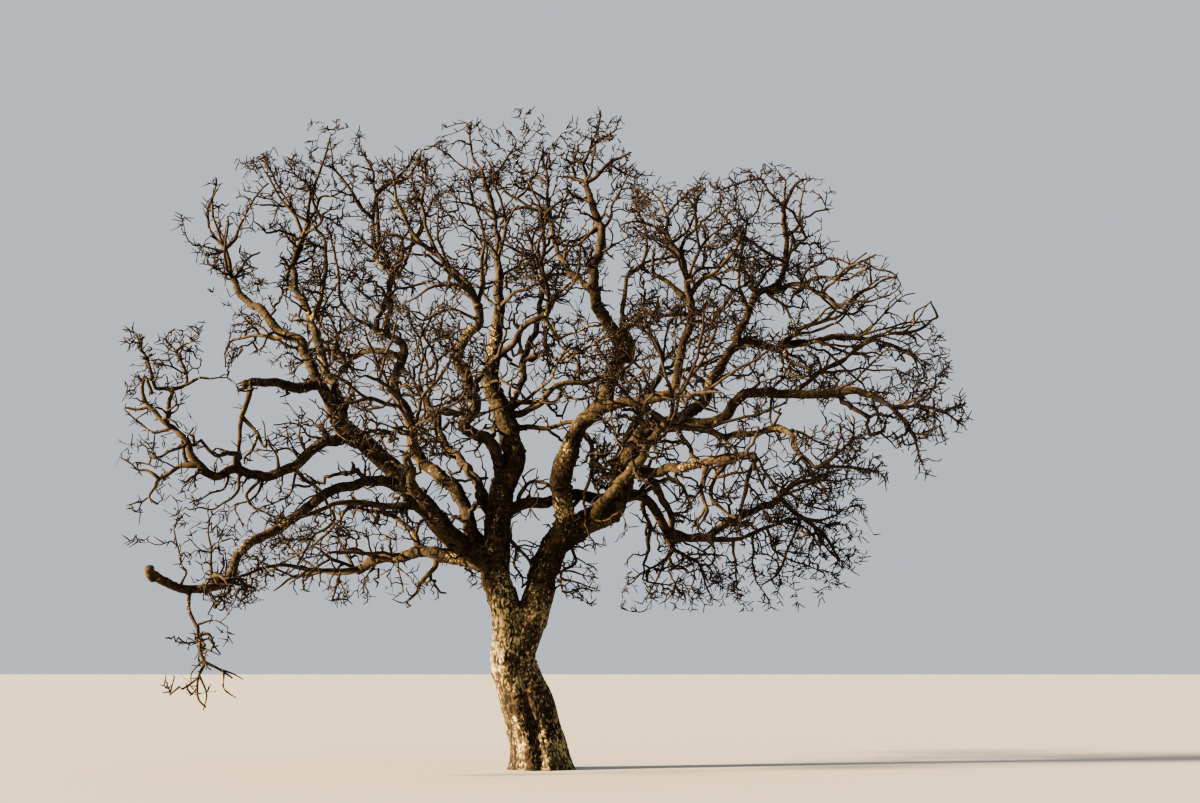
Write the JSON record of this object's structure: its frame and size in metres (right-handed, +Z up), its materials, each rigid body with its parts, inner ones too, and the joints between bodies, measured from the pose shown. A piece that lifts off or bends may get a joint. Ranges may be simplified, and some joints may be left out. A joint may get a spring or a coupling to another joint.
{
  "type": "bare oak tree",
  "caption": "Old open-grown oak in winter: a leaning trunk of fused strands, crooked spreading boughs, broken dead ends and leafless masses of twigs, fixed at a flat cut in the ground.",
  "frame": {"origin": "middle of the flat cut under the trunk, at ground level", "axes": "+Z up, +X along the crown's greatest spread, to the right in the picture, +Y away from the viewer"},
  "size_m": [12.9004, 9.838, 10.7086],
  "materials": {
    "bark": "rough furrowed bark",
    "twigs": "matt bare twigs"
  },
  "bodies": {
    "root": {"trunk": "bark", "left_stem": "bark", "right_stem": "bark", "left_diagonal_bough": "bark", "low_left_bough": "bark", "left_arching_bough": "bark", "left_cross_bough": "bark", "upper_left_bough": "bark", "inner_left_bough": "bark", "broken_left_bough": "bark", "long_left_bough": "bark", "long_low_left_bough": "bark", "hanging_left_bough": "bark", "s_bend_bough": "bark", "crossing_bough": "bark", "centre_bough": "bark", "leader_left_bough": "bark", "right_front_bough": "bark", "passing_bough": "bark", "broken_low_right_bough": "bark", "broken_right_bough": "bark", "lower_right_bough": "bark", "right_rising_bough": "bark", "long_right_bough": "bark", "upper_right_bough": "bark", "right_arch_bough": "bark", "front_left_bough": "bark", "front_right_bough": "bark", "back_left_bough": "bark", "back_right_bough": "bark", "top_back_bough": "bark", "twigs_top_left_centre": "twigs", "twigs_low_left": "twigs", "twigs_top_left": "twigs", "twigs_left_core": "twigs", "twigs_upper_left": "twigs", "twigs_inner_left": "twigs", "twigs_left_middle": "twigs", "twigs_far_left": "twigs", "twigs_hanging_left": "twigs", "twigs_s_bend": "twigs", "twigs_centre": "twigs", "twigs_crown_top": "twigs", "twigs_top_centre": "twigs", "twigs_right_centre": "twigs", "twigs_lower_right_back": "twigs", "twigs_low_right": "twigs", "twigs_under_right": "twigs", "twigs_lower_right": "twigs", "twigs_right": "twigs", "twigs_far_right": "twigs", "twigs_upper_right": "twigs", "twigs_right_arch": "twigs", "twigs_front_left": "twigs", "twigs_front_right": "twigs", "twigs_back_left": "twigs", "twigs_back_right": "twigs", "twigs_top_back": "twigs"}
  },
  "joints": []
}
